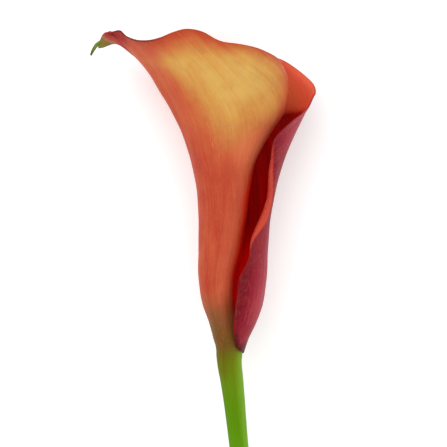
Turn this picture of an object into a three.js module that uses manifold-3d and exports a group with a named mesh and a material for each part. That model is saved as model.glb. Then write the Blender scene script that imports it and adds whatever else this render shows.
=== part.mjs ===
// A cut calla lily lying on its back. Lengths are in millimetres.
// +Y runs from the stem's cut end to the bloom, and +Z points away from the surface that the flower lies on.
// The bloom's numbers are measured from the top of the stem, at the middle of the neck.
import * as THREE from "three";
import Module from "manifold-3d";

// Driving dimensions
const SHEET_THICKNESS = 0.8;
const TIP_THICKNESS = 0.62; // where the beak narrows
const SLEEVE_BOTTOM = -1.1; // height of the lower edge of the spathe
const FLAT_DEPTH = -22.3; // depth of the surface that the flower lies on, below the neck
const FLAP_CURL = { reach: 3.0, lift: 1.2 }; // the flap's edge turns outward
const RIM_CURL = { reach: 0.035, lift: 0.5 }; // the rim turns outward a little
const MIDRIB_ANGLE = 180;
const RIM_PULL_START = 0.55; // share of the height where the rim's own line starts to draw the sheet
const RIM_PULL_POWER = 2.2;
const BEAK_PULL_POWER = 34;
const BEAK_ANGLE = 5; // half width of the beak in degrees of roll
const CELLS_NEAR = 22; // grid cells from the inner margin to the midrib
const CELLS_FAR = 30; // grid cells from the midrib to the flap's edge
const CELLS_UP = 28;
const CROWDING = 1.35; // above 1 the grid is closer at the midrib
const STEM_SIDES = 20;
const SPADIX_SIDES = 22;
const SPADIX_ROWS = 34;
const FLORET_RELIEF = 0.16;
const FLORET_TURNS = 11; // rows of florets that spiral round the spadix

// The body of the bloom is one sheet rolled like a scroll. Its roll angle starts inside the near roll, passes the
// near limb at 0, the front at 90, the midrib at 180, the back at 270, the far limb at 360 and the flap's front at 450.
// Each row: height, left limb x, near limb x, far limb x, front x, front z, back x, back z, flap x, flap z
const BODY_ROWS = [
  [-1.2, -4.1, 3.0, 3.6, -0.5, 3.5, -0.5, -3.5, 0.3, 5.0],
  [0.6, -4.4, 3.0, 4.1, -0.7, 3.7, -0.2, -4.0, 0.6, 5.3],
  [2.9, -4.9, 2.7, 4.85, -1.2, 4.2, 0.0, -4.8, 0.9, 5.8],
  [7.4, -6.0, 1.7, 7.0, -2.5, 5.0, 0.3, -6.2, 1.0, 6.8],
  [13.3, -8.1, 0.7, 9.1, -4.0, 5.7, 0.4, -7.8, 1.5, 7.7],
  [20.6, -9.3, 1.0, 10.2, -4.4, 6.5, 0.6, -9.2, 2.3, 8.6],
  [29.5, -9.4, 2.9, 10.7, -3.4, 7.3, 0.7, -10.2, 3.3, 9.6],
  [38.4, -9.4, 4.3, 11.4, -2.7, 8.1, 1.0, -10.6, 3.5, 10.8],
  [47.2, -9.9, 5.4, 13.0, -2.4, 9.1, 1.5, -11.2, 4.1, 12.0],
  [56.0, -11.7, 7.4, 15.5, -2.2, 10.5, 1.9, -12.6, 4.4, 13.5],
  [64.9, -14.7, 12.7, 19.1, -1.2, 12.4, 2.2, -14.8, 5.0, 15.5],
  [70.8, -17.6, 17.0, 21.9, -1.1, 14.0, 2.1, -17.0, 5.6, 17.0],
  [76.7, -21.1, 18.4, 24.3, -2.4, 15.8, 1.2, -19.5, 6.2, 18.5],
  [82.6, -24.5, 17.6, 25.6, -4.7, 17.8, -0.9, -21.6, 6.8, 20.0],
  [88.5, -29.3, 12.5, 26.2, -7.5, 19.6, -3.8, -22.5, 7.4, 21.5],
  [94.4, -35.9, 5.2, 26.5, -10.4, 21.5, -6.8, -22.8, 8.0, 23.0],
];

// How far the inner margin is rolled in behind the near limb. Each row: height, distance in x, depth in z
const INNER_ROWS = [
  [-3, 1.2, 2.6],
  [6, 3.0, 3.6],
  [30, 4.0, 5.0],
  [60, 5.0, 7.0],
  [95, 6.0, 9.0],
];

// The rim, with the beak at the midrib. Each row: roll angle, x, height, z
const RIM_ROWS = [
  [-40, 9.3, 75.3, -7.0],
  [-15, 13.2, 80.5, -4.0],
  [5, 14.4, 83.7, 1.5],
  [22, 12.6, 85.6, 7.0],
  [40, 7.5, 87.8, 12.0],
  [57, 2.3, 88.9, 16.0],
  [72, -3.2, 89.7, 19.0],
  [88, -8.1, 92.4, 20.5],
  [102, -12.4, 93.3, 20.5],
  [118, -16.7, 92.5, 18.5],
  [133, -20.5, 90.9, 15.5],
  [147, -24.4, 90.3, 12.0],
  [158, -28.0, 91.0, 8.2],
  [165, -30.5, 92.5, 5.6],
  [171, -32.4, 94.2, 3.8],
  [175.5, -35.0, 93.9, 2.8],
  [178, -37.8, 93.1, 1.6],
  [180, -39.2, 90.2, 0],
  [182, -37.8, 92.3, -1.8],
  [185, -35.3, 92.9, -3.4],
  [190, -31.8, 92.5, -6.0],
  [200, -27.8, 90.4, -10.5],
  [215, -22.9, 87.5, -16.0],
  [232, -16.6, 85.1, -20.8],
  [245, -11.8, 84.0, -22.5],
  [258, -7.5, 83.4, -22.9],
  [270, -3.3, 83.6, -22.9],
  [282, 1.0, 84.3, -22.5],
  [294, 5.2, 85.3, -21.0],
  [306, 8.5, 86.3, -18.2],
  [320, 12.1, 87.1, -14.0],
  [334, 16.2, 85.4, -9.5],
  [347, 21.1, 81.6, -4.5],
  [357, 23.8, 78.6, -0.5],
  [366, 24.5, 76.0, 3.0],
];

// Roll angles of the two margins. Each row: share of the height, angle
const INNER_MARGIN = [
  [0, 60],
  [0.03, 28],
  [0.12, -12],
  [0.3, -36],
  [0.6, -52],
  [0.85, -45],
  [1, -40],
];
const FLAP_MARGIN = [
  [0, 385],
  [0.007, 397],
  [0.022, 427],
  [0.045, 446],
  [0.066, 451],
  [0.142, 452],
  [0.217, 451],
  [0.292, 450],
  [0.367, 438],
  [0.442, 438],
  [0.517, 417],
  [0.592, 405],
  [0.667, 408],
  [0.742, 417],
  [0.78, 428],
  [0.817, 436],
  [0.855, 432],
  [0.893, 422],
  [0.931, 400],
  [0.966, 380],
  [1, 364],
];

// The green point that hangs from the beak. Each row: x, height, radius
const SPIKE = [
  [-38.3, 91.0, 0.55],
  [-39.6, 90.1, 0.58],
  [-40.4, 89.0, 0.5],
  [-41.0, 87.9, 0.4],
  [-41.4, 86.9, 0.3],
];
const SPIKE_SIDES = 8;

// The stem from its neck to its cut end. Each row: height, x, z, radius
const STEM_ROWS = [
  [1.8, -0.5, 0, 2.2],
  [1.3, -0.5, 0, 2.6],
  [-1.5, -0.5, 0, 2.6],
  [-1.5, -0.5, 0, 3.85],
  [-3, -0.5, 0, 3.7],
  [-8.8, 0.2, -0.3, 3.46],
  [-14.8, 0.9, -0.9, 3.24],
  [-20.6, 1.5, -1.8, 3.07],
  [-26.6, 2.1, -2.9, 2.93],
  [-36, 3.1, -5.0, 2.84],
  [-47, 4.2, -7.8, 2.8],
  [-60, 5.5, -11.0, 2.8],
  [-74, 6.8, -14.0, 2.8],
  [-88, 8.0, -16.4, 2.8],
  [-102, 9.0, -18.1, 2.8],
  [-116, 9.9, -19.1, 2.8],
  [-130, 10.6, -19.5, 2.8],
  [-143, 11.1, -19.5, 2.8],
  [-155, 11.4, -19.5, 2.8],
];

// The spadix. Each row: height, x, z, radius
const SPADIX_LINE = [
  [2.2, -0.8, 0, 1.8],
  [3.2, -0.8, 0, 2.1],
  [8, -2.3, 0, 2.4],
  [14, -3.6, 0.2, 2.8],
  [22, -3.7, 0, 3.0],
  [32, -3.2, -0.4, 3.0],
  [40, -2.6, -0.8, 2.7],
  [44.5, -2.3, -1.0, 1.9],
  [46.2, -2.2, -1.1, 0.8],
];

const clamp01 = (value) => Math.min(Math.max(value, 0), 1);
const radians = THREE.MathUtils.degToRad;

// Smooth curve through column `column` of the rows, whose first column is the position along it.
function follow(rows, column, at) {
  const last = rows.length - 1;
  const t = Math.min(Math.max(at, rows[0][0]), rows[last][0]);
  let i = 0;
  while (i < last - 1 && t >= rows[i + 1][0]) i += 1;
  const span = (k) => rows[k + 1][0] - rows[k][0];
  const rise = (k) => (rows[k + 1][column] - rows[k][column]) / span(k);
  const slope = (k) => {
    if (k === 0) return rise(0);
    if (k === last) return rise(last - 1);
    return (rise(k - 1) * span(k) + rise(k) * span(k - 1)) / (span(k) + span(k - 1));
  };
  const s = (t - rows[i][0]) / span(i);
  const from = (1 + 2 * s) * (1 - s) ** 2 * rows[i][column] + s * (1 - s) ** 2 * span(i) * slope(i);
  const to = s * s * (3 - 2 * s) * rows[i + 1][column] + s * s * (s - 1) * span(i) * slope(i + 1);
  return from + to;
}

// Plan of the rolled body at one height: quarter ellipses between the limbs and the front and back.
function bodyPoint(angle, height) {
  const [left, near, far, frontX, frontZ, backX, backZ, flapX, flapZ] = BODY_ROWS[0]
    .slice(1)
    .map((_, i) => follow(BODY_ROWS, i + 1, height));
  const inner = [near - follow(INNER_ROWS, 1, height), -follow(INNER_ROWS, 2, height)];
  const marks = [inner, [near, 0], [frontX, frontZ], [left, 0], [backX, backZ], [far, 0], [flapX, flapZ]];
  const quarter = Math.min(Math.max(Math.ceil((angle + 90) / 90) - 1, 0), marks.length - 2);
  const turn = radians(angle + 90 - quarter * 90);
  const [[x0, z0], [x1, z1]] = [marks[quarter], marks[quarter + 1]];
  if (quarter % 2 === 1) return [x1 + (x0 - x1) * Math.cos(turn), z0 + (z1 - z0) * Math.sin(turn)];
  return [x0 + (x1 - x0) * Math.sin(turn), z1 + (z0 - z1) * Math.cos(turn)];
}

// Point of the sheet at a roll angle and a share of the height, before its edges curl.
function sheetPoint(angle, share) {
  const [rimX, rimY, rimZ] = [1, 2, 3].map((column) => follow(RIM_ROWS, column, angle));
  const height = SLEEVE_BOTTOM + share * (rimY - SLEEVE_BOTTOM);
  const [x, z] = bodyPoint(angle, height);
  const [endX, endZ] = bodyPoint(angle, rimY);
  const beak = Math.exp(-(((angle - MIDRIB_ANGLE) / BEAK_ANGLE) ** 2));
  const power = RIM_PULL_POWER + BEAK_PULL_POWER * beak;
  const pull = clamp01((share - RIM_PULL_START) / (1 - RIM_PULL_START)) ** power;
  return new THREE.Vector3(x + pull * (rimX - endX), height, z + pull * (rimZ - endZ));
}

// Roll angle at a share of the way across, with the midrib always at one half.
function rollAngle(across, share) {
  const inner = follow(INNER_MARGIN, 1, share);
  const flap = follow(FLAP_MARGIN, 1, share);
  if (across < 0.5) return inner + (MIDRIB_ANGLE - inner) * across * 2;
  return MIDRIB_ANGLE + (flap - MIDRIB_ANGLE) * (across * 2 - 1);
}

// Middle of the sheet with its curled edges, and the outward normal there.
function sheetAt(across, share) {
  const step = 0.001;
  const at = (u, v) => sheetPoint(rollAngle(clamp01(u), v), v);
  const alongRow = at(across + step, share).sub(at(across - step, share));
  const angle = rollAngle(across, share);
  const up = sheetPoint(angle, Math.min(share + step, 1)).sub(sheetPoint(angle, Math.max(share - step, 0)));
  const normal = up.cross(alongRow).normalize();
  const point = sheetPoint(angle, share);
  const toEdge = point.distanceTo(at(1, share));
  const flapShare = across > 0.5 ? clamp01(1 - toEdge / FLAP_CURL.reach) ** 2 : 0;
  const fade = clamp01(share / 0.12) * clamp01((1 - share) / 0.12);
  const rimShare = clamp01(1 - (1 - share) / RIM_CURL.reach) ** 2;
  point.addScaledVector(normal, FLAP_CURL.lift * flapShare * fade + RIM_CURL.lift * rimShare);
  const lowest = FLAT_DEPTH + SHEET_THICKNESS / 2;
  const lies = point.z <= lowest;
  if (lies) point.z = lowest;
  return { point, normal, angle, lies };
}

// Closed mesh from a list of points and a list of triangles.
function meshGeometry(points, triangles) {
  const positions = new Float32Array(points.flatMap((p) => p.toArray()));
  return new THREE.BufferGeometry()
    .setAttribute("position", new THREE.BufferAttribute(positions, 3))
    .setIndex(triangles.flat());
}

// The rolled sheet as a closed slab: an outer grid, an inner grid and the strip between their borders.
function slabGeometry() {
  const near = Array.from({ length: CELLS_NEAR }, (_, i) => 0.5 - 0.5 * (1 - i / CELLS_NEAR) ** CROWDING);
  const far = Array.from({ length: CELLS_FAR + 1 }, (_, i) => 0.5 + 0.5 * (i / CELLS_FAR) ** CROWDING);
  const across = [...near, ...far];
  const shares = Array.from({ length: CELLS_UP + 1 }, (_, i) => {
    const t = i / CELLS_UP;
    return (t + 1 - (1 - t) ** 1.4) / 2;
  });
  const columns = across.length;
  const outer = [];
  const inner = [];
  for (const v of shares) {
    for (const u of across) {
      const { point, normal, angle, lies } = sheetAt(u, v);
      const narrow = Math.exp(-(((angle - MIDRIB_ANGLE) / (2 * BEAK_ANGLE)) ** 2)) * clamp01((v - 0.85) / 0.15);
      const half = (SHEET_THICKNESS - (SHEET_THICKNESS - TIP_THICKNESS) * narrow) / 2;
      const out = point.clone().addScaledVector(normal, half);
      if (lies) out.z = FLAT_DEPTH;
      outer.push(out);
      inner.push(point.clone().addScaledVector(normal, -half));
    }
  }
  const triangles = [];
  const offset = outer.length;
  for (let i = 0; i < CELLS_UP; i += 1) {
    for (let j = 0; j < columns - 1; j += 1) {
      const [a, b, c, d] = [i * columns + j, i * columns + j + 1, (i + 1) * columns + j, (i + 1) * columns + j + 1];
      triangles.push([a, d, b], [a, c, d]);
      triangles.push([offset + a, offset + b, offset + d], [offset + a, offset + d, offset + c]);
    }
  }
  const top = CELLS_UP * columns;
  const border = [];
  for (let j = 0; j < columns - 1; j += 1) border.push([j + 1, j], [top + j, top + j + 1]);
  for (let i = 0; i < CELLS_UP; i += 1) {
    border.push([i * columns, (i + 1) * columns]);
    border.push([(i + 2) * columns - 1, (i + 1) * columns - 1]);
  }
  for (const [a, b] of border) triangles.push([a, offset + a, offset + b], [a, offset + b, b]);
  return meshGeometry([...outer, ...inner], triangles);
}

// Closed round body along a line. `radiusAt` may vary with the row and with the angle round it.
function tubeGeometry(centres, radiusAt, sides) {
  const points = [];
  const last = centres.length - 1;
  centres.forEach((centre, row) => {
    const along = centres[Math.min(row + 1, last)].clone().sub(centres[Math.max(row - 1, 0)]).normalize();
    const side = new THREE.Vector3(0, 0, 1).cross(along).normalize();
    const up = along.clone().cross(side);
    for (let k = 0; k < sides; k += 1) {
      const turn = (2 * Math.PI * k) / sides - Math.PI / 2;
      const spoke = side.clone().multiplyScalar(Math.cos(turn)).addScaledVector(up, Math.sin(turn));
      points.push(centre.clone().addScaledVector(spoke, radiusAt(row, k)));
    }
  });
  const triangles = [];
  for (let row = 0; row < last; row += 1) {
    for (let k = 0; k < sides; k += 1) {
      const [a, b] = [row * sides + k, row * sides + ((k + 1) % sides)];
      triangles.push([a, b, b + sides], [a, b + sides, a + sides]);
    }
  }
  const first = points.push(centres[0].clone()) - 1;
  const end = points.push(centres[last].clone()) - 1;
  for (let k = 0; k < sides; k += 1) {
    const next = (k + 1) % sides;
    triangles.push([first, next, k], [end, last * sides + k, last * sides + next]);
  }
  return meshGeometry(points, triangles);
}

const wasm = await Module();
wasm.setup();

function solidOf(geometry) {
  const mesh = new wasm.Mesh({
    numProp: 3,
    vertProperties: geometry.getAttribute("position").array,
    triVerts: new Uint32Array(geometry.index.array),
  });
  return new wasm.Manifold(mesh);
}

function geometryOf(solid) {
  const mesh = solid.getMesh();
  return new THREE.BufferGeometry()
    .setAttribute("position", new THREE.BufferAttribute(new Float32Array(mesh.vertProperties), 3))
    .setIndex(new THREE.BufferAttribute(new Uint32Array(mesh.triVerts), 1));
}

function spatheGeometry() {
  const line = SPIKE.map(([x, height]) => new THREE.Vector3(x, height, 0));
  const spike = tubeGeometry(line, (row) => SPIKE[row][2], SPIKE_SIDES);
  return geometryOf(solidOf(slabGeometry()).add(solidOf(spike)));
}

function stemGeometry() {
  const centres = STEM_ROWS.map(([height, x, z]) => new THREE.Vector3(x, height, z));
  return tubeGeometry(centres, (row) => STEM_ROWS[row][3], STEM_SIDES);
}

// The spadix has low florets in spiral rows, which fade out at its two ends.
function spadixGeometry() {
  const [bottom, top] = [SPADIX_LINE[0][0], SPADIX_LINE[SPADIX_LINE.length - 1][0]];
  const heights = Array.from({ length: SPADIX_ROWS + 1 }, (_, i) => bottom + ((top - bottom) * i) / SPADIX_ROWS);
  const centres = heights.map((h) => new THREE.Vector3(follow(SPADIX_LINE, 1, h), h, follow(SPADIX_LINE, 2, h)));
  const radiusAt = (row, k) => {
    const fade = Math.sin((Math.PI * row) / SPADIX_ROWS);
    const floret = Math.cos(FLORET_TURNS * ((2 * Math.PI * k) / SPADIX_SIDES) + Math.PI * row);
    return follow(SPADIX_LINE, 3, heights[row]) + FLORET_RELIEF * fade * floret;
  };
  return tubeGeometry(centres, radiusAt, SPADIX_SIDES);
}

const pieces = [
  ["stem", stemGeometry(), { color: 0x7f9a2c, roughness: 0.5, metalness: 0 }],
  ["spathe", spatheGeometry(), { color: 0xd4703f, roughness: 0.48, metalness: 0 }],
  ["spadix", spadixGeometry(), { color: 0xe0b040, roughness: 0.75, metalness: 0 }],
];

const group = new THREE.Group();
group.name = "calla_lily_flower";
for (const [name, geometry, finish] of pieces) {
  geometry.computeVertexNormals();
  const mesh = new THREE.Mesh(geometry, new THREE.MeshStandardMaterial(finish));
  mesh.name = name;
  group.add(mesh);
}

// The origin is at the middle of the surface under the flower's bounding box.
const box = new THREE.Box3().setFromObject(group);
const middle = box.getCenter(new THREE.Vector3());
for (const mesh of group.children) mesh.geometry.translate(-middle.x, -middle.y, -box.min.z);

export default group;
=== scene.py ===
import math

import bpy
import numpy as np
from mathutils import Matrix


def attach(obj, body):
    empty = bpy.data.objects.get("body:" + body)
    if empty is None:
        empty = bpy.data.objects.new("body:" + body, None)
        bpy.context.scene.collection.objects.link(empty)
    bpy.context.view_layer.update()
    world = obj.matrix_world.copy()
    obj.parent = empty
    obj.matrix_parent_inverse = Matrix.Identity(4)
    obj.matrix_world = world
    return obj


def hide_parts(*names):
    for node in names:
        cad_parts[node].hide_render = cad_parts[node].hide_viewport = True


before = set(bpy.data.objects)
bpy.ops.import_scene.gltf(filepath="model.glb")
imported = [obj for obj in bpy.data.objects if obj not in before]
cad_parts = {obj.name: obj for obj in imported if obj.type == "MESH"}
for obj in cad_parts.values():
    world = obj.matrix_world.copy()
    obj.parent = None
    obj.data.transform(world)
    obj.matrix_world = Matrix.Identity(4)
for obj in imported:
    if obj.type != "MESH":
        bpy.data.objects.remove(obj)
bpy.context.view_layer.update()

MM = 0.001
SHIFT = np.array([8.2435, 30.4545, 22.3])  # the point in the neck, from the part's origin
NECK_X, NECK_RADIUS = -0.5, 3.86  # axis and radius of the stem at its neck
SLEEVE_BOTTOM = -1.1  # height of the foot of the spathe
FLAT_DEPTH = -22.27  # z of the outside where the bloom lies pressed flat
FRONT, MIDRIB = 90.0, 180.0

# Sheet of the spathe
CAD_HALF_SHEET = 0.4
SHEET_THICKNESS, EDGE_THICKNESS, EDGE_WIDTH = 0.66, 0.36, 1.6
BEAK_THICKNESS, BEAK_WIDTH, BEAK_START = 0.5, 10.0, 0.85
RIB_DEPTH, UNEVEN_DEPTH = 0.02, 0.05
RELIEF_START = 0.3, 4  # distances from the sheet's border
CELLS_NEAR, CELLS_FAR, CELLS_UP = 110, 156, 168
MIDRIB_CROWDING, RIM_CROWDING = 1.35, 1.6

# The body's plan is pulled out to the rim, more suddenly at the midrib, where this makes the beak
PULL_START, PULL_POWER, BEAK_POWER, BEAK_ANGLE = 0.55, 2.2, 42.0, 8.0
# The midrib rises in a narrow fold under the beak
FOLD_RISE, FOLD_ANGLE, FOLD_START_POWER, FOLD_END_POWER = 26.5, 3.5, 1.7, 2.2
# The flap's lower tip is raised and so rounded
FLAP_TIP_RISE, FLAP_TIP_POWER, FLAP_TIP_ANGLES = 0.8, 12, (330, 380)
# The rim and the flap's margin curl outwards, but half way up the margin turns down into the hollow
RIM_REACH, RIM_LIFT = 0.035, 0.5
FLAP_REACH, FLAP_LIFT, FLAP_END_SHARE = 3.0, 1.2, 0.12
TURN_IN, TURN_IN_FROM, TURN_IN_TO = 1.9, (31, 38), (52, 64)
# The foot of the tube runs smoothly into the stem
FOOT_INSET, FOOT_SWELL, FOOT_SWELL_TOP = 0.06, 0.1, 0.3
JOIN_TOP, JOIN_ANGLES = 3.5, (285, 345)

# Stem, spadix and green point
STEM_SIDES, STEM_STEPS, STEM_RIB_START = 96, 260, (-1.5, -14)
STEM_RIBS = ((7, 0.05, 0.8), (11, 0.035, 2.1))  # number of ribs, depth, turn
CUT_RINGS, CUT_DISH, CUT_INSET, CUT_SKIN = 14, 0.12, 0.06, (0.84, 0.97)
SPADIX_SIDES, SPADIX_STEPS, SPADIX_FOOT, SPADIX_TOP = 176, 340, 2.5, 1.5
FLORET_SPIRALS, FLORET_PITCH, FLORET_HEIGHT, FLORET_SINK = 11, 1.9, 0.34, 0.2
SPIKE_SIDES, SPIKE_STEPS, SPIKE_RIBS, SPIKE_RIB_SHARE = 32, 60, 3, 0.12

# Each row: height, left limb x, near limb x, far limb x, front x, front z, back x, back z, flap x, flap z
BODY_ROWS = np.array([
    [-1.2, -4.1, 3.0, 3.6, -0.5, 3.5, -0.5, -3.5, 0.3, 5.0],
    [0.6, -4.4, 3.0, 4.1, -0.7, 3.7, -0.2, -4.0, 0.6, 5.3],
    [2.9, -4.9, 2.7, 4.85, -1.2, 4.2, 0.0, -4.8, 0.9, 5.8],
    [7.4, -6.0, 1.7, 7.0, -2.5, 5.0, 0.3, -6.2, 1.0, 6.8],
    [13.3, -8.1, 0.7, 9.1, -4.0, 5.7, 0.4, -7.8, 1.5, 7.7],
    [20.6, -9.3, 1.0, 10.2, -4.4, 6.5, 0.6, -9.2, 2.3, 8.6],
    [29.5, -9.4, 2.9, 10.7, -3.4, 7.3, 0.7, -10.2, 3.3, 9.6],
    [38.4, -9.4, 4.3, 11.4, -2.7, 8.1, 1.0, -10.6, 3.5, 10.8],
    [47.2, -9.9, 5.4, 13.0, -2.4, 9.1, 1.5, -11.2, 4.1, 12.0],
    [56.0, -11.7, 7.4, 15.5, -2.2, 10.5, 1.9, -12.6, 4.4, 13.5],
    [64.9, -14.7, 12.7, 19.1, -1.2, 12.4, 2.2, -14.8, 5.0, 15.5],
    [70.8, -17.6, 17.0, 21.9, -1.1, 14.0, 2.1, -17.0, 5.6, 17.0],
    [76.7, -21.1, 18.4, 24.3, -2.4, 15.8, 1.2, -19.5, 6.2, 18.5],
    [82.6, -24.8, 17.6, 25.6, -4.7, 17.8, -0.9, -21.6, 6.8, 20.0],
    [88.5, -30.0, 12.5, 26.2, -7.5, 19.6, -3.8, -22.5, 7.4, 21.5],
    [94.4, -35.9, 5.2, 26.5, -10.4, 21.5, -6.8, -22.8, 8.0, 23.0],
])
# Each row: height, how far the inner margin is rolled in, in x and in depth
INNER_ROWS = np.array([[-3, 1.2, 2.6], [6, 3.0, 3.6], [30, 4.0, 5.0], [60, 5.0, 7.0], [95, 6.0, 9.0]])
# Each row: roll angle, x, height, z
RIM_ROWS = np.array([
    [-40, 9.3, 75.3, -7.0], [-15, 13.2, 80.5, -4.0], [5, 14.4, 83.7, 1.5], [22, 12.6, 85.6, 7.0],
    [40, 7.5, 87.8, 12.0], [57, 2.3, 88.9, 16.0], [72, -3.2, 89.7, 19.0], [88, -8.1, 92.4, 20.5],
    [102, -12.4, 93.3, 20.5], [118, -16.7, 92.5, 18.5], [133, -20.5, 91.2, 15.5], [147, -24.4, 90.7, 12.0],
    [158, -28.0, 91.3, 8.2], [165, -30.5, 92.5, 5.6], [171, -32.4, 94.1, 3.8], [175.5, -35.0, 93.95, 2.8],
    [178, -37.8, 93.35, 1.6], [180, -39.2, 89.6, 0], [182, -37.8, 92.3, -1.8], [185, -35.3, 92.9, -3.4],
    [190, -31.8, 92.5, -6.0], [200, -27.8, 90.4, -10.5], [215, -22.9, 87.5, -16.0], [232, -16.6, 85.1, -20.8],
    [245, -11.8, 84.0, -22.5], [258, -7.5, 83.4, -22.9], [270, -3.3, 83.6, -22.9], [282, 1.0, 84.3, -22.5],
    [294, 5.2, 85.3, -21.0], [306, 8.5, 86.3, -18.2], [320, 12.1, 87.1, -14.0], [334, 16.2, 85.4, -9.5],
    [347, 21.1, 81.6, -4.5], [357, 23.8, 78.6, -0.5], [366, 24.5, 76.0, 3.0],
])
# Each row: share of the height, roll angle of the margin
INNER_MARGIN = np.array([[0, 60], [0.03, 28], [0.12, -12], [0.3, -36], [0.6, -52], [0.85, -45], [1, -40]])
FLAP_MARGIN = np.array([
    [0, 400], [0.007, 418], [0.022, 438], [0.045, 449], [0.066, 451], [0.142, 452], [0.217, 451],
    [0.292, 450], [0.367, 437], [0.442, 433], [0.517, 402], [0.592, 386], [0.667, 399], [0.742, 416],
    [0.78, 428], [0.817, 436], [0.855, 432], [0.893, 422], [0.931, 400], [0.966, 380], [1, 364],
])
# Each row: x, height, radius of the green point
SPIKE_ROWS = np.array([
    [-38.3, 91.0, 0.55], [-39.6, 90.1, 0.58], [-40.4, 89.0, 0.5], [-41.0, 87.9, 0.4], [-41.4, 86.9, 0.24],
])
# Each row: height, x, z, radius of the stem. The first two rows stand inside the foot of the spathe.
STEM_ROWS = np.array([
    [1.2, NECK_X, 0, 2.9], [0.2, NECK_X, 0, 3.72], [SLEEVE_BOTTOM, NECK_X, 0, NECK_RADIUS],
    [-3, NECK_X, 0, 3.7], [-8.8, 0.2, -0.3, 3.46], [-14.8, 0.9, -0.9, 3.24], [-20.6, 1.5, -1.8, 3.07],
    [-26.6, 2.1, -2.9, 2.93], [-36, 3.1, -5.0, 2.84], [-47, 4.2, -7.8, 2.8], [-60, 5.5, -11.0, 2.8],
    [-74, 6.8, -14.0, 2.8], [-88, 8.0, -16.4, 2.8], [-102, 9.0, -18.1, 2.8], [-116, 9.9, -19.1, 2.8],
    [-130, 10.6, -19.5, 2.8], [-143, 11.1, -19.5, 2.8], [-155, 11.4, -19.5, 2.8],
])
# Each row: height, x, z, radius of the spadix
SPADIX_ROWS = np.array([
    [2.2, -0.8, 0, 1.8], [3.2, -0.8, 0, 2.1], [8, -2.3, 0, 2.4], [14, -3.6, 0.2, 2.8], [22, -3.7, 0, 3.0],
    [32, -3.2, -0.4, 3.0], [40, -2.6, -0.8, 2.7], [44.5, -2.3, -1.0, 1.9], [46.2, -2.2, -1.1, 0.5],
])


def follow(rows, column, at):
    """Smooth curve through a column of the rows, whose first column is the position along it."""
    k, v = rows[:, 0], rows[:, column]
    h = np.diff(k)
    rise = np.diff(v) / h
    slope = np.empty_like(v)
    slope[0], slope[-1] = rise[0], rise[-1]
    slope[1:-1] = (rise[:-1] * h[1:] + rise[1:] * h[:-1]) / (h[1:] + h[:-1])
    t = np.clip(np.asarray(at, float), k[0], k[-1])
    i = np.clip(np.searchsorted(k, t, side="right") - 1, 0, len(k) - 2)
    s = (t - k[i]) / h[i]
    start = (1 + 2 * s) * (1 - s) ** 2 * v[i] + s * (1 - s) ** 2 * h[i] * slope[i]
    return start + s * s * (3 - 2 * s) * v[i + 1] + s * s * (s - 1) * h[i] * slope[i + 1]


def line_of(rows, heights):
    """Points of an axis whose rows hold a height, an x and a z."""
    return np.stack([follow(rows, 1, heights), heights, follow(rows, 2, heights)], -1)


def ramp(value, start, end):
    """0 at start, 1 at end, smooth in between."""
    t = np.clip((value - start) / (end - start), 0, 1)
    return t * t * (3 - 2 * t)


def fade(value, start, end):
    """1 at start, 0 at end, smooth in between."""
    return 1 - ramp(value, start, end)


def spot(value, centre, width):
    """1 at the centre, falling away smoothly on both sides."""
    return np.exp(-(((value - centre) / width) ** 2))


def length(vectors):
    return np.linalg.norm(vectors, axis=-1)


def across_from(direction):
    """Two directions at right angles to a direction, or to each of several. The first one is level."""
    side = np.cross((0.0, 0.0, 1.0), direction)
    side /= length(side)[..., None]
    return side, np.cross(direction, side)


def body_point(angle, height):
    """Plan of the rolled body at one height: quarter ellipses between the limbs and the front and back."""
    left, near, far, front_x, front_z, back_x, back_z, flap_x, flap_z = (
        follow(BODY_ROWS, c, height) for c in range(1, 10)
    )
    zero = np.zeros_like(height)
    inner_x, inner_z = near - follow(INNER_ROWS, 1, height), -follow(INNER_ROWS, 2, height)
    marks = [(inner_x, inner_z), (near, zero), (front_x, front_z), (left, zero), (back_x, back_z),
             (far, zero), (flap_x, flap_z)]
    quarter = np.clip(np.ceil((angle + 90) / 90).astype(int) - 1, 0, 5)
    turn = np.radians(angle + 90 - quarter * 90)
    x, z = np.zeros_like(height), np.zeros_like(height)
    for q in range(6):
        (x0, z0), (x1, z1) = marks[q], marks[q + 1]
        if q % 2:
            px, pz = x1 + (x0 - x1) * np.cos(turn), z0 + (z1 - z0) * np.sin(turn)
        else:
            px, pz = x0 + (x1 - x0) * np.sin(turn), z1 + (z0 - z1) * np.cos(turn)
        x, z = np.where(quarter == q, px, x), np.where(quarter == q, pz, z)
    return x, z


def sheet_point(angle, share):
    """Point of the sheet at a roll angle and a share of the height, before its edges curl."""
    rim_x, rim_y, rim_z = (follow(RIM_ROWS, c, angle) for c in (1, 2, 3))
    height = SLEEVE_BOTTOM + share * (rim_y - SLEEVE_BOTTOM)
    x, z = body_point(angle, height)
    end_x, end_z = body_point(angle, rim_y)
    power = PULL_POWER + BEAK_POWER * spot(angle, MIDRIB, BEAK_ANGLE)
    pull = np.clip((share - PULL_START) / (1 - PULL_START), 0, 1) ** power
    in_fold = spot(angle, MIDRIB, FOLD_ANGLE)
    height += FOLD_RISE * in_fold * pull**FOLD_START_POWER * (1 - pull) ** FOLD_END_POWER
    height += FLAP_TIP_RISE * ramp(angle, *FLAP_TIP_ANGLES) * (1 - share) ** FLAP_TIP_POWER
    return np.stack([x + pull * (rim_x - end_x), height, z + pull * (rim_z - end_z)], -1)


def roll_angle(across, share):
    """Roll angle at a share of the way across, with the midrib always at one half."""
    inner, flap = follow(INNER_MARGIN, 1, share), follow(FLAP_MARGIN, 1, share)
    near = inner + (MIDRIB - inner) * across * 2
    return np.where(across < 0.5, near, MIDRIB + (flap - MIDRIB) * (across * 2 - 1))


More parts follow.
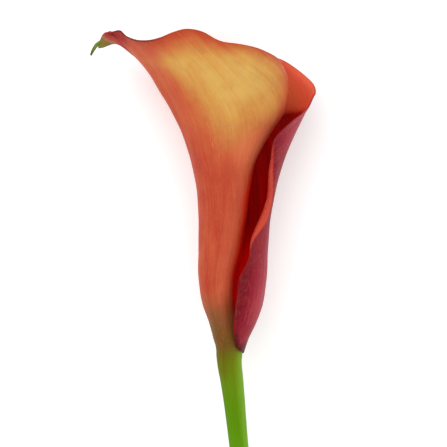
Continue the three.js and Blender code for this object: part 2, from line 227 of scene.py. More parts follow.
def sheet_at(across, share):
    """Middle of the curled sheet, its outward normal, roll angle and distances to both side edges."""
    step, far_away = 0.001, 99

    def at(u, v):
        return sheet_point(roll_angle(np.clip(u, 0, 1), v), v)

    angle = roll_angle(across, share)
    along = at(across + step, share) - at(across - step, share)
    up = sheet_point(angle, np.minimum(share + step, 1)) - sheet_point(angle, np.maximum(share - step, 0))
    normal = np.cross(up, along)
    normal /= np.maximum(length(normal), 1e-9)[..., None]
    point = sheet_point(angle, share)
    to_flap = np.where(across > 0.5, length(point - at(np.ones_like(across), share)), far_away)
    to_inner = np.where(across < 0.5, length(point - at(np.zeros_like(across), share)), far_away)
    height = point[..., 1]
    flap = np.clip(1 - to_flap / FLAP_REACH, 0, 1) ** 2
    flap *= np.clip(share / FLAP_END_SHARE, 0, 1) * np.clip((1 - share) / FLAP_END_SHARE, 0, 1)
    turned_in = ramp(height, *TURN_IN_FROM) * fade(height, *TURN_IN_TO)
    rim = np.clip(1 - (1 - share) / RIM_REACH, 0, 1) ** 2
    lift = FLAP_LIFT * (1 - TURN_IN * turned_in) * flap + RIM_LIFT * rim
    point = point + normal * lift[..., None]
    point[..., 2] = np.maximum(point[..., 2], FLAT_DEPTH + CAD_HALF_SHEET)
    return point, normal, angle, to_flap, to_inner


def new_object(name, points, faces, materials, face_slots=None):
    """Mesh object from points in millimetres from the neck."""
    mesh = bpy.data.meshes.new(name)
    mesh.from_pydata(((points + SHIFT) * MM).tolist(), [], faces)
    for m in materials:
        mesh.materials.append(m)
    if face_slots is not None:
        mesh.polygons.foreach_set("material_index", face_slots)
    mesh.polygons.foreach_set("use_smooth", [True] * len(mesh.polygons))
    mesh.update()
    piece = bpy.data.objects.new(name, mesh)
    bpy.context.scene.collection.objects.link(piece)
    return piece


def set_values(piece, **values):
    """One number, or three, for each point of the mesh, under a name that the materials read."""
    for name, numbers in values.items():
        numbers = np.asarray(numbers, np.float32)
        vector = numbers.size == 3 * len(piece.data.vertices)
        layer = piece.data.attributes.new(name, "FLOAT_VECTOR" if vector else "FLOAT", "POINT")
        layer.data.foreach_set("vector" if vector else "value", numbers.ravel())


def shown(r, g, b, glare=0.008, light=1.04):
    """Surface colour that shows as the given sRGB colour, from 0 to 255, in this light."""
    out = []
    for c in (r, g, b):
        bright = c / 255 / 12.92 if c <= 10 else ((c / 255 + 0.055) / 1.055) ** 2.4
        out.append(max((bright - glare) / light, 0.0004))
    return (*out, 1.0)


# Colours of the stalk
LIT_SIDE_GREEN = shown(150, 204, 62)
DARK_GREEN = shown(66, 92, 22)
CLOUD_GREEN = shown(120, 160, 44)
STALK_BROWN = shown(108, 72, 28)
# Colours of the spathe's outside
# Painted light for the band beside the rolled edge
LIT_ORANGE = shown(250, 140, 98)
# Painted shade on the rolled edge, where it turns into the hollow
ROLL_SHADE_RED = shown(226, 36, 8)
RIM_RED = shown(188, 70, 40)
LIP_RED = shown(206, 74, 56)
EDGE_RED = shown(172, 60, 42)
EDGE_CRIMSON = shown(146, 24, 36)
TIP_DARK = shown(66, 18, 24)
# Painted highlight that lifts the shade of the crease behind the beak
FOLD_HIGHLIGHT_PINK = shown(206, 120, 98)
RIM_DARK = shown(92, 26, 34)
BEAK_BROWN = shown(96, 62, 40)
BEAK_TAN = shown(152, 116, 78)
FLECK_CREAM = shown(240, 186, 132)
PATCH_RED = shown(176, 60, 34)
VEIN_BROWN = shown(150, 56, 34)
GRAIN_YELLOW = shown(232, 176, 110)
# Colours of its inside
# Painted light for a patch of the inside shadowed by the rolled edge
INSIDE_LIT = shown(252, 136, 74)
INSIDE_LIP = shown(214, 80, 62)
# Painted highlight along the inside of the rim
INSIDE_RIM_HIGHLIGHT = shown(238, 110, 72)
INSIDE_BEAK = shown(152, 44, 48)
INSIDE_VEIN = shown(140, 4, 8)
INSIDE_CLOUD = shown(230, 60, 44)
# Colours of the cut face's border, the florets' pollen and the green point
CUT_GREEN = shown(96, 130, 40)
POLLEN = shown(250, 230, 150)
POINT_GREEN = shown(58, 72, 16)
# Colours along a value. Each stop is a position, and the red, green and blue that show there.
STALK_STOPS = ((0.0, 95, 148, 14), (0.29, 97, 140, 14), (0.45, 104, 132, 16), (0.57, 110, 116, 22),
               (0.65, 114, 98, 34), (0.72, 118, 88, 40), (0.86, 136, 86, 52), (1.0, 172, 90, 58))
TUBE_STOPS = ((0.0, 189, 71, 51), (0.25, 204, 96, 61), (0.5, 208, 123, 69), (0.75, 214, 152, 78),
              (1.0, 222, 178, 96))
FLAP_STOPS = ((0.0, 112, 14, 32), (0.3, 132, 27, 45), (0.65, 157, 43, 60), (1.0, 182, 72, 86))
BEAK_STOPS = ((0.0, 158, 48, 54), (0.25, 176, 60, 62), (0.5, 192, 88, 80), (0.58, 176, 136, 100),
              (0.78, 138, 118, 66), (1.0, 112, 134, 38))
# The deep reds are painted shade in the hollow, and the bright red at the end is painted light low down
INSIDE_SHADE_STOPS = ((0.0, 238, 108, 82), (0.22, 216, 80, 50), (0.5, 176, 7, 7), (0.75, 156, 2, 4),
                (1.0, 250, 6, 18))
CUT_STOPS = ((0.0, 120, 140, 60), (0.28, 176, 192, 112), (0.6, 206, 214, 150))
FLORET_STOPS = ((0.0, 168, 108, 26), (0.4, 222, 172, 52), (1.0, 244, 212, 104))
POINT_STOPS = ((0.0, 152, 154, 78), (0.4, 120, 136, 46), (1.0, 58, 74, 12))
# Red, green and blue glow through the flower in these shares
GLOW_SPREAD = 1.0, 0.3, 0.12


class Look:
    """A material under construction, with short ways to make its nodes."""

    def __init__(self, name, roughness=0.5, specular=0.3, glow=0.1, glow_depth=0.001):
        self.material = bpy.data.materials.new(name)
        self.material.use_nodes = True
        self.tree = self.material.node_tree
        self.shader = self.tree.nodes["Principled BSDF"]
        self.shader.inputs["Roughness"].default_value = roughness
        self.shader.inputs["Specular IOR Level"].default_value = specular
        self.shader.inputs["Subsurface Weight"].default_value = glow
        self.shader.inputs["Subsurface Scale"].default_value = glow_depth
        self.shader.inputs["Subsurface Radius"].default_value = GLOW_SPREAD

    def put(self, socket, value):
        if isinstance(value, bpy.types.NodeSocket):
            self.tree.links.new(value, socket)
        else:
            socket.default_value = value

    def attribute(self, name, output="Fac"):
        made = self.tree.nodes.new("ShaderNodeAttribute")
        made.attribute_name = name
        return made.outputs[output]

    def stretched(self, name, *scale):
        """A vector of the mesh with each of its directions scaled."""
        made = self.tree.nodes.new("ShaderNodeMapping")
        self.tree.links.new(self.attribute(name, "Vector"), made.inputs["Vector"])
        made.inputs["Scale"].default_value = scale
        return made.outputs["Vector"]

    def place(self):
        return self.tree.nodes.new("ShaderNodeTexCoord").outputs["Object"]

    def noise(self, vector, scale=1.0, detail=2.0, rough=0.5, distortion=0.0):
        made = self.tree.nodes.new("ShaderNodeTexNoise")
        for socket, value in (("Vector", vector), ("Scale", scale), ("Detail", detail), ("Roughness", rough),
                              ("Distortion", distortion)):
            self.put(made.inputs[socket], value)
        return made.outputs["Fac"]

    def calculate(self, kind, a, b, clamp=False):
        made = self.tree.nodes.new("ShaderNodeMath")
        made.operation, made.use_clamp = kind, clamp
        self.put(made.inputs[0], a)
        self.put(made.inputs[1], b)
        return made.outputs[0]

    def sum(self, a, b, clamp=False):
        return self.calculate("ADD", a, b, clamp)

    def product(self, a, b):
        return self.calculate("MULTIPLY", a, b)

    def fit(self, value, low, high, to_low=0.0, to_high=1.0):
        """A value between low and high as the same share of the way between two other numbers."""
        made = self.tree.nodes.new("ShaderNodeMapRange")
        for index, number in enumerate((value, low, high, to_low, to_high)):
            self.put(made.inputs[index], number)
        return made.outputs[0]

    def spread(self, noise, least, most):
        """The usual reach of a noise, spread between two numbers."""
        return self.fit(noise, 0.3, 0.7, least, most)

    def mix(self, share, colour, other):
        """A colour with a share of another one in it."""
        made = self.tree.nodes.new("ShaderNodeMix")
        made.data_type = "RGBA"
        # The colours of this node are its sockets 6 and 7, and the mixed colour is its output 2
        self.put(made.inputs[0], share)
        self.put(made.inputs[6], colour)
        self.put(made.inputs[7], other)
        return made.outputs[2]

    def masked(self, colour, name, other):
        """Another colour where an attribute of the mesh says so."""
        return self.mix(self.attribute(name), colour, other)

    def speckled(self, colour, noise, low, high, most, other):
        """Up to a share of another colour where a noise is high."""
        return self.mix(self.fit(noise, low, high, 0.0, most), colour, other)

    def ramp(self, value, stops):
        """Colours along a value, smooth between the stops."""
        made = self.tree.nodes.new("ShaderNodeValToRGB")
        for _ in stops[2:]:
            made.color_ramp.elements.new(0.5)
        for element, (position, *colour) in zip(made.color_ramp.elements, stops):
            element.position, element.color = position, shown(*colour)
        self.put(made.inputs["Fac"], value)
        return made.outputs["Color"]

    def finish(self, colour, roughness, *bumps):
        """Links colour and roughness, and bumps given as (height, strength, distance in metres)."""
        self.put(self.shader.inputs["Base Color"], colour)
        self.put(self.shader.inputs["Roughness"], roughness)
        normal = None
        for height, strength, distance in bumps:
            made = self.tree.nodes.new("ShaderNodeBump")
            for socket, value in (("Strength", strength), ("Distance", distance), ("Height", height)):
                self.put(made.inputs[socket], value)
            if normal is not None:
                self.tree.links.new(normal, made.inputs["Normal"])
            normal = made.outputs["Normal"]
        self.tree.links.new(normal, self.shader.inputs["Normal"])
        return self.material


# The stalk's colours run between two heights. Painted light makes it paler on its right, and it has a brown
# streak in front.
STALK_LOW, STALK_HIGH = -27.0, 15.0
LIT_SIDE_SHARE, LIT_SIDE_SPAN, LIT_SIDE_TOP = 0.6, (0.2, 0.95), (2, 8)
FLUSH_SHARE, FLUSH_TURN, FLUSH_WIDTH = 0.75, 118, 0.45
FLUSH_FROM, FLUSH_TO = (-12, -5), (2, 9)


def stalk_colour(look):
    """Green below the neck, olive and brown above it. The stem and the foot of the spathe share it."""
    streaks = look.noise(look.stretched("skin", 3.2, 3.2, 0.05), detail=3.0, rough=0.6, distortion=0.2)
    fine = look.noise(look.stretched("skin", 12.0, 12.0, 0.12), detail=2.0, rough=0.6)
    rise = look.sum(look.attribute("rise"), look.spread(streaks, -0.09, 0.09), clamp=True)
    colour = look.ramp(rise, STALK_STOPS)
    # Painted light: a paler green on the stalk's right side
    lit_side = look.product(look.attribute("lit_side"), look.fit(streaks, 0.35, 0.65, 0.55, 1.0))
    colour = look.mix(lit_side, colour, LIT_SIDE_GREEN)
    flush = look.product(look.attribute("flush"), look.spread(fine, 0.2, 1.0))
    colour = look.mix(flush, colour, STALK_BROWN)
    colour = look.speckled(colour, fine, 0.45, 0.8, 0.3, DARK_GREEN)
    return colour, streaks, fine


def stalk_values(points, axis_x, axis_z):
    """Numbers that the stalk's colours read, from positions and the stem's own axis."""
    height = points[..., 1]
    turn = np.arctan2(points[..., 2] - axis_z, points[..., 0] - axis_x)
    to_right = np.cos(turn)
    streak = FLUSH_SHARE * spot(turn, np.radians(FLUSH_TURN), FLUSH_WIDTH)
    return {
        "skin": np.stack([to_right, np.sin(turn), height], -1),
        "rise": np.clip((height - STALK_LOW) / (STALK_HIGH - STALK_LOW), 0, 1),
        "lit_side": LIT_SIDE_SHARE * ramp(to_right, *LIT_SIDE_SPAN) * fade(height, *LIT_SIDE_TOP),
        "flush": streak * ramp(height, *FLUSH_FROM) * fade(height, *FLUSH_TO),
    }


def petal_veins(look):
    """Veins, finer veins, and a number from -0.5 to 0.5 that changes from vein to vein."""
    veins = look.noise(look.stretched("veins", 70.0, 2.2, 1.0), detail=3.0, rough=0.55, distortion=0.25)
    fine = look.noise(look.stretched("veins", 260.0, 6.0, 1.0), detail=2.0, rough=0.6)
    return veins, fine, look.spread(veins, -0.5, 0.5)


def tube_colour(look, streak, cloud):
    """Orange into which yellow comes along the veins, with painted light and painted deep red shade beside
    the rolled edge.
    """
    broad = look.noise(look.stretched("veins", 17.0, 4.0, 1.0), detail=3.0, rough=0.5, distortion=0.5)
    warm = look.sum(look.attribute("warm"), look.product(streak, 0.12))
    warm = look.sum(warm, look.fit(broad, 0.25, 0.75, -0.1, 0.1))
    warm = look.sum(warm, look.fit(cloud, 0.25, 0.75, -0.12, 0.12), clamp=True)
    colour = look.masked(look.ramp(warm, TUBE_STOPS), "lit", LIT_ORANGE)
    return look.masked(colour, "roll_shade", ROLL_SHADE_RED)


def flap_colour(look, streak):
    """Crimson, with painted light that makes it lighter to the right."""
    tone = look.sum(look.attribute("flap_lit_tone"), look.product(streak, 0.2), clamp=True)
    return look.ramp(tone, FLAP_STOPS)


def beak_colour(look, fine, grain):
    """Crimson above, and tan to mottled green below."""
    colour = look.ramp(look.attribute("beak"), BEAK_STOPS)
    colour = look.speckled(colour, fine, 0.45, 0.7, 0.4, BEAK_BROWN)
    mottled = look.product(look.fit(grain, 0.42, 0.62), look.fit(look.attribute("beak"), 0.5, 0.8, 0.0, 0.6))
    return look.mix(mottled, colour, BEAK_TAN)


def petal_outside():
    """Orange tube that turns yellow above, red at the rim, crimson on the flap and green at the base."""
    look = Look("petal_outside", specular=0.09, glow=0.12, glow_depth=0.0012)
    veins, fine, streak = petal_veins(look)
    cloud = look.noise(look.place(), scale=110.0, detail=4.0, rough=0.55)
    patches = look.noise(look.place(), scale=190.0, detail=4.0, rough=0.65, distortion=0.4)
    grain = look.noise(look.place(), scale=1100.0, detail=2.0)
    crease = look.noise(look.place(), scale=230.0, detail=3.0, rough=0.55, distortion=0.8)
    crease = look.product(crease, look.attribute("creased"))
    flecks = look.noise(look.stretched("veins", 110.0, 26.0, 1.0), detail=4.0, rough=0.65, distortion=1.6)
    flecks = look.product(look.fit(flecks, 0.54, 0.64), look.attribute("creased"))

    colour = look.masked(tube_colour(look, streak, cloud), "flap", flap_colour(look, streak))
    colour = look.mix(look.product(look.attribute("rim"), look.spread(fine, 0.6, 1.0)), colour, RIM_RED)
    stalk, stalk_streaks, _ = stalk_colour(look)
    foot = look.sum(look.attribute("foot"), look.product(streak, 0.22))
    colour = look.mix(look.fit(foot, 0.05, 0.75), colour, stalk)
    colour = look.masked(colour, "lip", LIP_RED)
    edge = look.product(look.attribute("edge"), look.spread(fine, 0.3, 0.8))
    colour = look.mix(edge, colour, look.masked(EDGE_RED, "flap", EDGE_CRIMSON))
    colour = look.masked(colour, "tip", TIP_DARK)
    colour = look.masked(colour, "fold_highlight", FOLD_HIGHLIGHT_PINK)
    colour = look.masked(colour, "beak_share", beak_colour(look, fine, grain))
    colour = look.masked(colour, "dark_rim", RIM_DARK)
    colour = look.mix(look.product(flecks, 0.65), colour, FLECK_CREAM)
    colour = look.speckled(colour, patches, 0.5, 0.75, 0.22, PATCH_RED)
    colour = look.speckled(colour, fine, 0.42, 0.75, 0.11, VEIN_BROWN)
    colour = look.speckled(colour, grain, 0.5, 0.8, 0.04, GRAIN_YELLOW)
    rough = look.fit(look.sum(cloud, fine), 0.7, 1.3, 0.44, 0.58)
    return look.finish(colour, rough, (veins, 0.16, 0.0003), (fine, 0.2, 0.00012), (crease, 0.8, 0.0009),
                       (flecks, 0.5, 0.0005), (stalk_streaks, 0.1, 0.0002))


def petal_inside():
    """Red inside: deep red below a painted shadow line and lighter low down by painted light, with painted
    light in a patch, a painted highlight at the rim, and brighter beside the flap's edge.
    """
    look = Look("petal_inside", specular=0.04, glow=0.15, glow_depth=0.0012)
    veins, fine, streak = petal_veins(look)
    cloud = look.noise(look.place(), scale=90.0, detail=3.0)
    depth = look.sum(look.attribute("inside_shade"), look.product(streak, 0.14), clamp=True)
    colour = look.masked(look.ramp(depth, INSIDE_SHADE_STOPS), "lit", INSIDE_LIT)
    colour = look.masked(colour, "lip", INSIDE_LIP)
    colour = look.masked(colour, "rim", INSIDE_RIM_HIGHLIGHT)
    colour = look.masked(colour, "beak_share", INSIDE_BEAK)
    colour = look.speckled(colour, fine, 0.45, 0.75, 0.16, INSIDE_VEIN)
    colour = look.speckled(colour, cloud, 0.45, 0.75, 0.1, INSIDE_CLOUD)
    return look.finish(colour, look.spread(fine, 0.46, 0.6), (veins, 0.3, 0.0004), (fine, 0.25, 0.00015))


def stem_skin():
    """Green skin with streaks along it, brown where it meets the bloom."""
    look = Look("stem_skin", specular=0.06, glow=0.06)
    colour, streaks, fine = stalk_colour(look)
    cloud = look.noise(look.place(), scale=60.0, detail=2.0)
    colour = look.speckled(colour, cloud, 0.4, 0.7, 0.16, CLOUD_GREEN)
    return look.finish(colour, look.spread(fine, 0.4, 0.52), (streaks, 0.3, 0.0003), (fine, 0.2, 0.0001))


def stem_cut():
    """Pale wet cut face with the darker ends of its strands."""
    look = Look("stem_cut", roughness=0.35, glow=0.15)
    dots = look.tree.nodes.new("ShaderNodeTexVoronoi")
    dots.inputs["Scale"].default_value = 1100.0
    look.put(dots.inputs["Vector"], look.place())
    grain = look.noise(look.place(), scale=1500.0)
    colour = look.masked(look.ramp(dots.outputs["Distance"], CUT_STOPS), "skin_ring", CUT_GREEN)
    return look.finish(colour, look.spread(grain, 0.28, 0.45), (grain, 0.3, 0.0002))


def florets():
    """Matte yellow florets, deeper in the gaps between them."""
    look = Look("spadix_florets", glow=0.1, glow_depth=0.0006)
    grain = look.noise(look.place(), scale=2600.0, detail=3.0)
    colour = look.ramp(look.attribute("floret"), FLORET_STOPS)
    colour = look.speckled(colour, grain, 0.45, 0.75, 0.4, POLLEN)
    return look.finish(colour, look.spread(grain, 0.62, 0.82), (grain, 0.4, 0.0001))


def green_point():
    """Green skin of the bloom's point, olive where it leaves the beak."""
    look = Look("green_point", glow=0.06, glow_depth=0.0006)
    streaks = look.noise(look.place(), scale=700.0, detail=3.0)
    colour = look.ramp(look.attribute("down"), POINT_STOPS)
    colour = look.speckled(colour, streaks, 0.4, 0.7, 0.35, POINT_GREEN)
    return look.finish(colour, look.spread(streaks, 0.42, 0.56), (streaks, 0.3, 0.0001))


def sheet_grid():
    """Shares across and up the sheet, closer together at the midrib and towards the rim."""
    near = 0.5 - 0.5 * (1 - np.arange(CELLS_NEAR) / CELLS_NEAR) ** MIDRIB_CROWDING
    far = 0.5 + 0.5 * (np.arange(CELLS_FAR + 1) / CELLS_FAR) ** MIDRIB_CROWDING
    even = np.arange(CELLS_UP + 1) / CELLS_UP
    crowded = 1 - (1 - even) ** RIM_CROWDING
    return np.meshgrid(np.concatenate([near, far]), (even + 3 * crowded) / 4)


def sheet_skins(point, normal, angle, share, border):
    """Outer and inner skin of the sheet, with low ribs along the veins and a soft unevenness outside."""
    x, y, turn = point[..., 0], point[..., 1], np.radians(angle)
    in_beak = spot(angle, MIDRIB, BEAK_WIDTH) * np.clip((share - BEAK_START) / (1 - BEAK_START), 0, 1)
    thick = SHEET_THICKNESS - (SHEET_THICKNESS - BEAK_THICKNESS) * in_beak
    thick -= (thick - EDGE_THICKNESS) * fade(border, 0, EDGE_WIDTH)
    # Both waves stay below the smooth surface
    ribs = RIB_DEPTH * (np.cos(23 * turn + 1.5 * share) + 0.6 * np.cos(37 * turn - 2 * share) - 1.6)
    uneven = UNEVEN_DEPTH * (np.sin(0.45 * y + 2.1 * turn) * np.sin(0.31 * x - 0.2 * y) - 1)
    outer = point + normal * (thick / 2 + (ribs + uneven) * ramp(border, *RELIEF_START))[..., None]
    inner = point - normal * (thick / 2)[..., None]
    lies = point[..., 2] <= FLAT_DEPTH + CAD_HALF_SHEET + 1e-6
    outer[..., 2] = np.where(lies, FLAT_DEPTH, np.maximum(outer[..., 2], FLAT_DEPTH))
    return outer, inner


def joined_to_stem(outer, angle):
    """The outer skin with its foot run smoothly into the stem."""
    height = outer[..., 1]
    turn = np.arctan2(outer[..., 2], outer[..., 0] - NECK_X)
    radius = NECK_RADIUS - FOOT_INSET + FOOT_SWELL * ramp(height, SLEEVE_BOTTOM, FOOT_SWELL_TOP)
    joined = np.stack([radius * np.cos(turn) + NECK_X, height, radius * np.sin(turn)], -1)
    join = fade(height, SLEEVE_BOTTOM, JOIN_TOP) * fade(angle, *JOIN_ANGLES)
    return outer + join[..., None] * (joined - outer)


def grid_faces(rows, columns):
    """Quads of a grid of points."""
    i, j = np.meshgrid(np.arange(rows - 1), np.arange(columns - 1), indexing="ij")
    a = (i * columns + j).ravel()
    return np.stack([a, a + columns, a + columns + 1, a + 1], 1)


def sheet_faces(rows, columns):
    """Faces of the outer skin, the inner skin and the strip that joins them, and each face's material."""
    count = rows * columns
    outside = grid_faces(rows, columns)
    inside = outside[:, ::-1] + count
    top, j, i = (rows - 1) * columns, np.arange(columns - 1), np.arange(rows - 1)
    start = np.concatenate([j + 1, top + j, i * columns, (i + 2) * columns - 1])
    end = np.concatenate([j, top + j + 1, (i + 1) * columns, (i + 1) * columns - 1])
    strip = np.stack([start, start + count, end + count, end], 1)
    slots = np.repeat([0, 1, 0], [len(outside), len(inside), len(strip)])
    return np.concatenate([outside, inside, strip]).tolist(), slots


# Where the spathe's colours change, in heights, x, distances or roll angles. A pair is where a change starts
# and where it ends.
RIGHT_PART = -8, 4
BACK = 185, 215
MIDDLE_TUBE, UPPER_TUBE, FLARE, BESIDE_RIM = (28, 42), (50, 60), (60, 72), (72, 84)
LIT_FROM, LIT_TO = (8, 16), (62, 74)
ROLL_SHADE_FROM, ROLL_SHADE_TO, ROLL_SHADE_LAST_ANGLE = (16, 26), (44, 56), 150
CRIMSON = 215, 330
LIGHT_FROM, LESS_LIGHT, MORE_LIGHT = (2, 14), (12, 42), (52, 68)
LIP_FROM, LIP_TO, LIP_WIDENS = (27, 31), (57, 62), (28.5, 38)
LIP_WIDEST, LIP_NARROWING, LIP_NARROWED = 2.6, 2.1, (38, 57)
DARK_TIP_HEIGHTS, DARK_TIP_ANGLES, DARK_TIP_WIDTH = (3, 7), (340, 370), (0.35, 1.9)
DARK_RIM_X, DARK_RIM_ANGLES, DARK_RIM_WIDTH = (-17, -25), (172, 178), (0.1, 0.65)
EDGE_LINE = 0.1, 0.55
FOOT_HEIGHTS, FOOT_ANGLES = (7, 21.5), (300, 350)
SHADOW_LINE_HEIGHT, LOW_GLOW_HEIGHTS, SHADE_TOP_HEIGHTS = 70, (22, 40), (73, 82)
INSIDE_LIP_FROM, INSIDE_LIP_TO, INSIDE_LIP_WIDTH = (12, 24), (60, 68), (1.2, 3.2)
INSIDE_LIT_FROM, INSIDE_HIGHLIGHT_WIDTH, INSIDE_BEAK_X = (70, 73.5), (0.3, 1.8), (-26, -35)
FOLD_HIGHLIGHT_HEIGHTS = 68, 88
# The middle and the width of the painted highlight along the fold, and of the painted patch of light inside
# in x and in height
FOLD_HIGHLIGHT_PLACE = 174, 7
INSIDE_LIT_X, INSIDE_LIT_HEIGHT = (16.5, 3.5), (75, 5)
# Yellow starts softly across the front, and grows beside the rolled edge after a clear strip
YELLOW_BLUR, YELLOW_CLEAR, YELLOW_GROWTH = 3.5, 0.6, 4.2
LEAST_YELLOW, LEAST_YELLOW_FROM, BACK_YELLOW = 0.08, (1, 6), 0.1
LEAST_FLAP_LIGHT, FLAP_LIGHT_WIDTH = 0.15, (0.5, 7)  # of the painted light on the crimson, beside the far limb
# How far the beak's colours reach round from the midrib, where they start in x, and how soft its green starts
BEAK_REACH, BEAK_X, GREEN_BLUR = 15, (-29.0, -31.6), 4.4
# Each row: height, how yellow the front is, the x where yellow begins
YELLOW_ROWS = np.array([
    [30, 0.1, 0], [42, 0.18, 0], [53, 0.42, -2], [59, 0.62, -4], [63.4, 0.77, -6], [67.9, 0.86, -8.5],
    [72.3, 0.94, -10.5], [76.7, 1, -13], [81.1, 1, -17.7], [85.5, 0.9, -24], [90, 0.85, -24], [94, 0.8, -22],
])
# Each row: x, height, width, length and share of a creased patch of the front
CREASED_PATCHES = ((-3.2, 63.5, 3.4, 4.2, 0.88), (9, 80, 4, 6, 0.5))


def tube_values(x, y, angle, to_rim, right):
    """How yellow the tube is, and how much painted light and painted deep red shade it has."""
    to_limb = np.where(angle > 0, follow(BODY_ROWS, 2, y) - x, 0)
    # Yellow begins along a line up the front. It is weaker beside the rolled edge, beside the rim and behind.
    warm = follow(YELLOW_ROWS, 1, y) / (1 + np.exp((follow(YELLOW_ROWS, 2, y) - x) / YELLOW_BLUR))
    warm *= 1 - np.exp(-np.maximum(to_limb - YELLOW_CLEAR, 0) / YELLOW_GROWTH)
    at_rim = 0.35 + 0.3 * right
    warm *= at_rim + (1 - at_rim) * ramp(to_rim, 0.5, 8 - 4 * right)
    warm = np.maximum(warm, LEAST_YELLOW * ramp(to_limb, *LEAST_YELLOW_FROM))
    warm = BACK_YELLOW + (warm - BACK_YELLOW) * fade(angle, *BACK)

    # A band of painted light runs up beside the rolled edge, and is wider above
    upper = ramp(y, *UPPER_TUBE)
    lit = (0.32 - 0.17 * ramp(y, *MIDDLE_TUBE) + 0.25 * upper) * fade(to_limb, 3 + upper, 7 + 3 * upper)
    lit += 0.25 * upper * fade(to_limb, 2, 5)
    lit *= ramp(to_limb + upper, 0.4, 1.5) * ramp(y, *LIT_FROM) * fade(y, *LIT_TO) * (angle < FRONT)

    # Painted shade makes the rolled edge deep red, in a band that widens half way up and again in the flare
    roll_shade_width = 1.2 + 1.6 * ramp(y, *ROLL_SHADE_FROM) * fade(y, *ROLL_SHADE_TO) + 3 * ramp(y, *FLARE)
    roll_shade = fade(to_limb, -0.2, roll_shade_width) * (angle < ROLL_SHADE_LAST_ANGLE)
    roll_shade *= 1 - 0.85 * upper + 0.55 * ramp(y, *BESIDE_RIM)
    return {"warm": warm, "lit": lit, "roll_shade": roll_shade}


def flap_values(x, y, angle, to_flap):
    """Where the outside is crimson, how much painted light its crimson has, and the flap's red lip and dark
    tip.
    """
    # Painted light makes it lighter beside the far limb, least of all half way up
    to_far_limb = follow(BODY_ROWS, 3, y) - x
    beside = fade(to_far_limb, *FLAP_LIGHT_WIDTH) * (0.5 + 0.5 * ramp(y, *LIGHT_FROM))
    tone = LEAST_FLAP_LIGHT + (1 - LEAST_FLAP_LIGHT) * beside
    tone *= 1 - 0.5 * ramp(y, *LESS_LIGHT) + 0.45 * ramp(y, *MORE_LIGHT)

    # The lip widens upwards at first, and then narrows evenly
    narrow_from, narrow_to = LIP_NARROWED
    narrowed = np.clip((y - narrow_from) / (narrow_to - narrow_from), 0, 1)
    lip_width = (LIP_WIDEST - LIP_NARROWING * narrowed) * ramp(y, *LIP_WIDENS)
    lip = fade(to_flap, 0.85 * lip_width - 0.1, lip_width + 0.1) * ramp(y, *LIP_FROM) * fade(y, *LIP_TO)

    # The tip is dark along its margin, and below a line that rises to the right
    to_tip = np.minimum(to_flap, 1.3 * (y + 0.9))
    tip = fade(to_tip, *DARK_TIP_WIDTH) * fade(y, *DARK_TIP_HEIGHTS)
    tip = 0.9 * np.maximum(tip, fade(y - 0.35 * (x - 3), 0.8, 3.0)) * ramp(angle, *DARK_TIP_ANGLES)
    return {"flap": ramp(angle, *CRIMSON), "flap_lit_tone": tone, "lip": lip, "tip": tip}


def edge_values(x, angle, to_rim, to_side, right):
    """The red band along the rim, the thin line round the sheet, and the dark line beside the beak."""
    # The red band is weaker and narrower in the right part
    rim = (0.85 - 0.4 * right) * fade(to_rim, 0.3, 3.0 - 0.8 * right)
    edge = fade(np.minimum(to_rim, to_side), *EDGE_LINE)
    dark = 0.8 * fade(to_rim, *DARK_RIM_WIDTH) * ramp(x, *DARK_RIM_X) * fade(angle, *DARK_RIM_ANGLES)
    return {"rim": rim, "edge": edge, "dark_rim": dark}


def beak_values(x, y, angle):
    """Where the beak has its own colours, how far they have turned green, and the painted highlight along the
    fold behind it.
    """
    share = np.exp(-(((angle - MIDRIB) / BEAK_REACH) ** 4)) * ramp(x + 0.15 * (y - 91), *BEAK_X)
    # Crimson lies above this bent line and green below it
    line = 91.4 - 0.18 * (x + 36) + 0.5 * np.maximum(-36 - x, 0) - 0.5 * np.maximum(x + 34.5, 0)
    green = np.clip(0.52 + (line - y) / GREEN_BLUR, 0, 1)
    # A band of painted highlight crosses the crimson aslant
    green += 0.2 * spot(y + 0.864 * (x + 34.9), 93.2, 0.75) * fade(green, 0.3, 0.6)
    fold_highlight = 0.5 * spot(angle, *FOLD_HIGHLIGHT_PLACE) * ramp(y, *FOLD_HIGHLIGHT_HEIGHTS)
    return {"beak_share": share, "beak": green, "fold_highlight": fold_highlight}


def inside_values(x, y, to_rim, to_flap):
    """The numbers that are different on the inside: a painted patch of light, the lip, a painted highlight
    along the rim, and the beak.
    """
    lit = 0.8 * spot(x, *INSIDE_LIT_X) * spot(y, *INSIDE_LIT_HEIGHT) * ramp(y, *INSIDE_LIT_FROM)
    lip = fade(to_flap, *INSIDE_LIP_WIDTH) * ramp(y, *INSIDE_LIP_FROM) * fade(y, *INSIDE_LIP_TO)
    return {"lit": lit, "lip": lip, "rim": 0.5 * fade(to_rim, *INSIDE_HIGHLIGHT_WIDTH),
            "beak_share": 0.85 * ramp(x, *INSIDE_BEAK_X)}


def inside_shade_at(y, angle):
    """How much painted shade the inside has: a painted shadow below a line, made lighter again low down by
    painted light.
    """
    # The painted shadow begins below a border that is sharper towards the far limb
    half_border = 3.5 - 1.8 * ramp(angle, 290, 330)
    depth = 0.65 * fade(y, SHADOW_LINE_HEIGHT - half_border, SHADOW_LINE_HEIGHT + half_border)
    # The low term is painted light, and the top term is a little more painted shade
    return depth + 0.25 * fade(y, *LOW_GLOW_HEIGHTS) + 0.14 * fade(y, *SHADE_TOP_HEIGHTS)


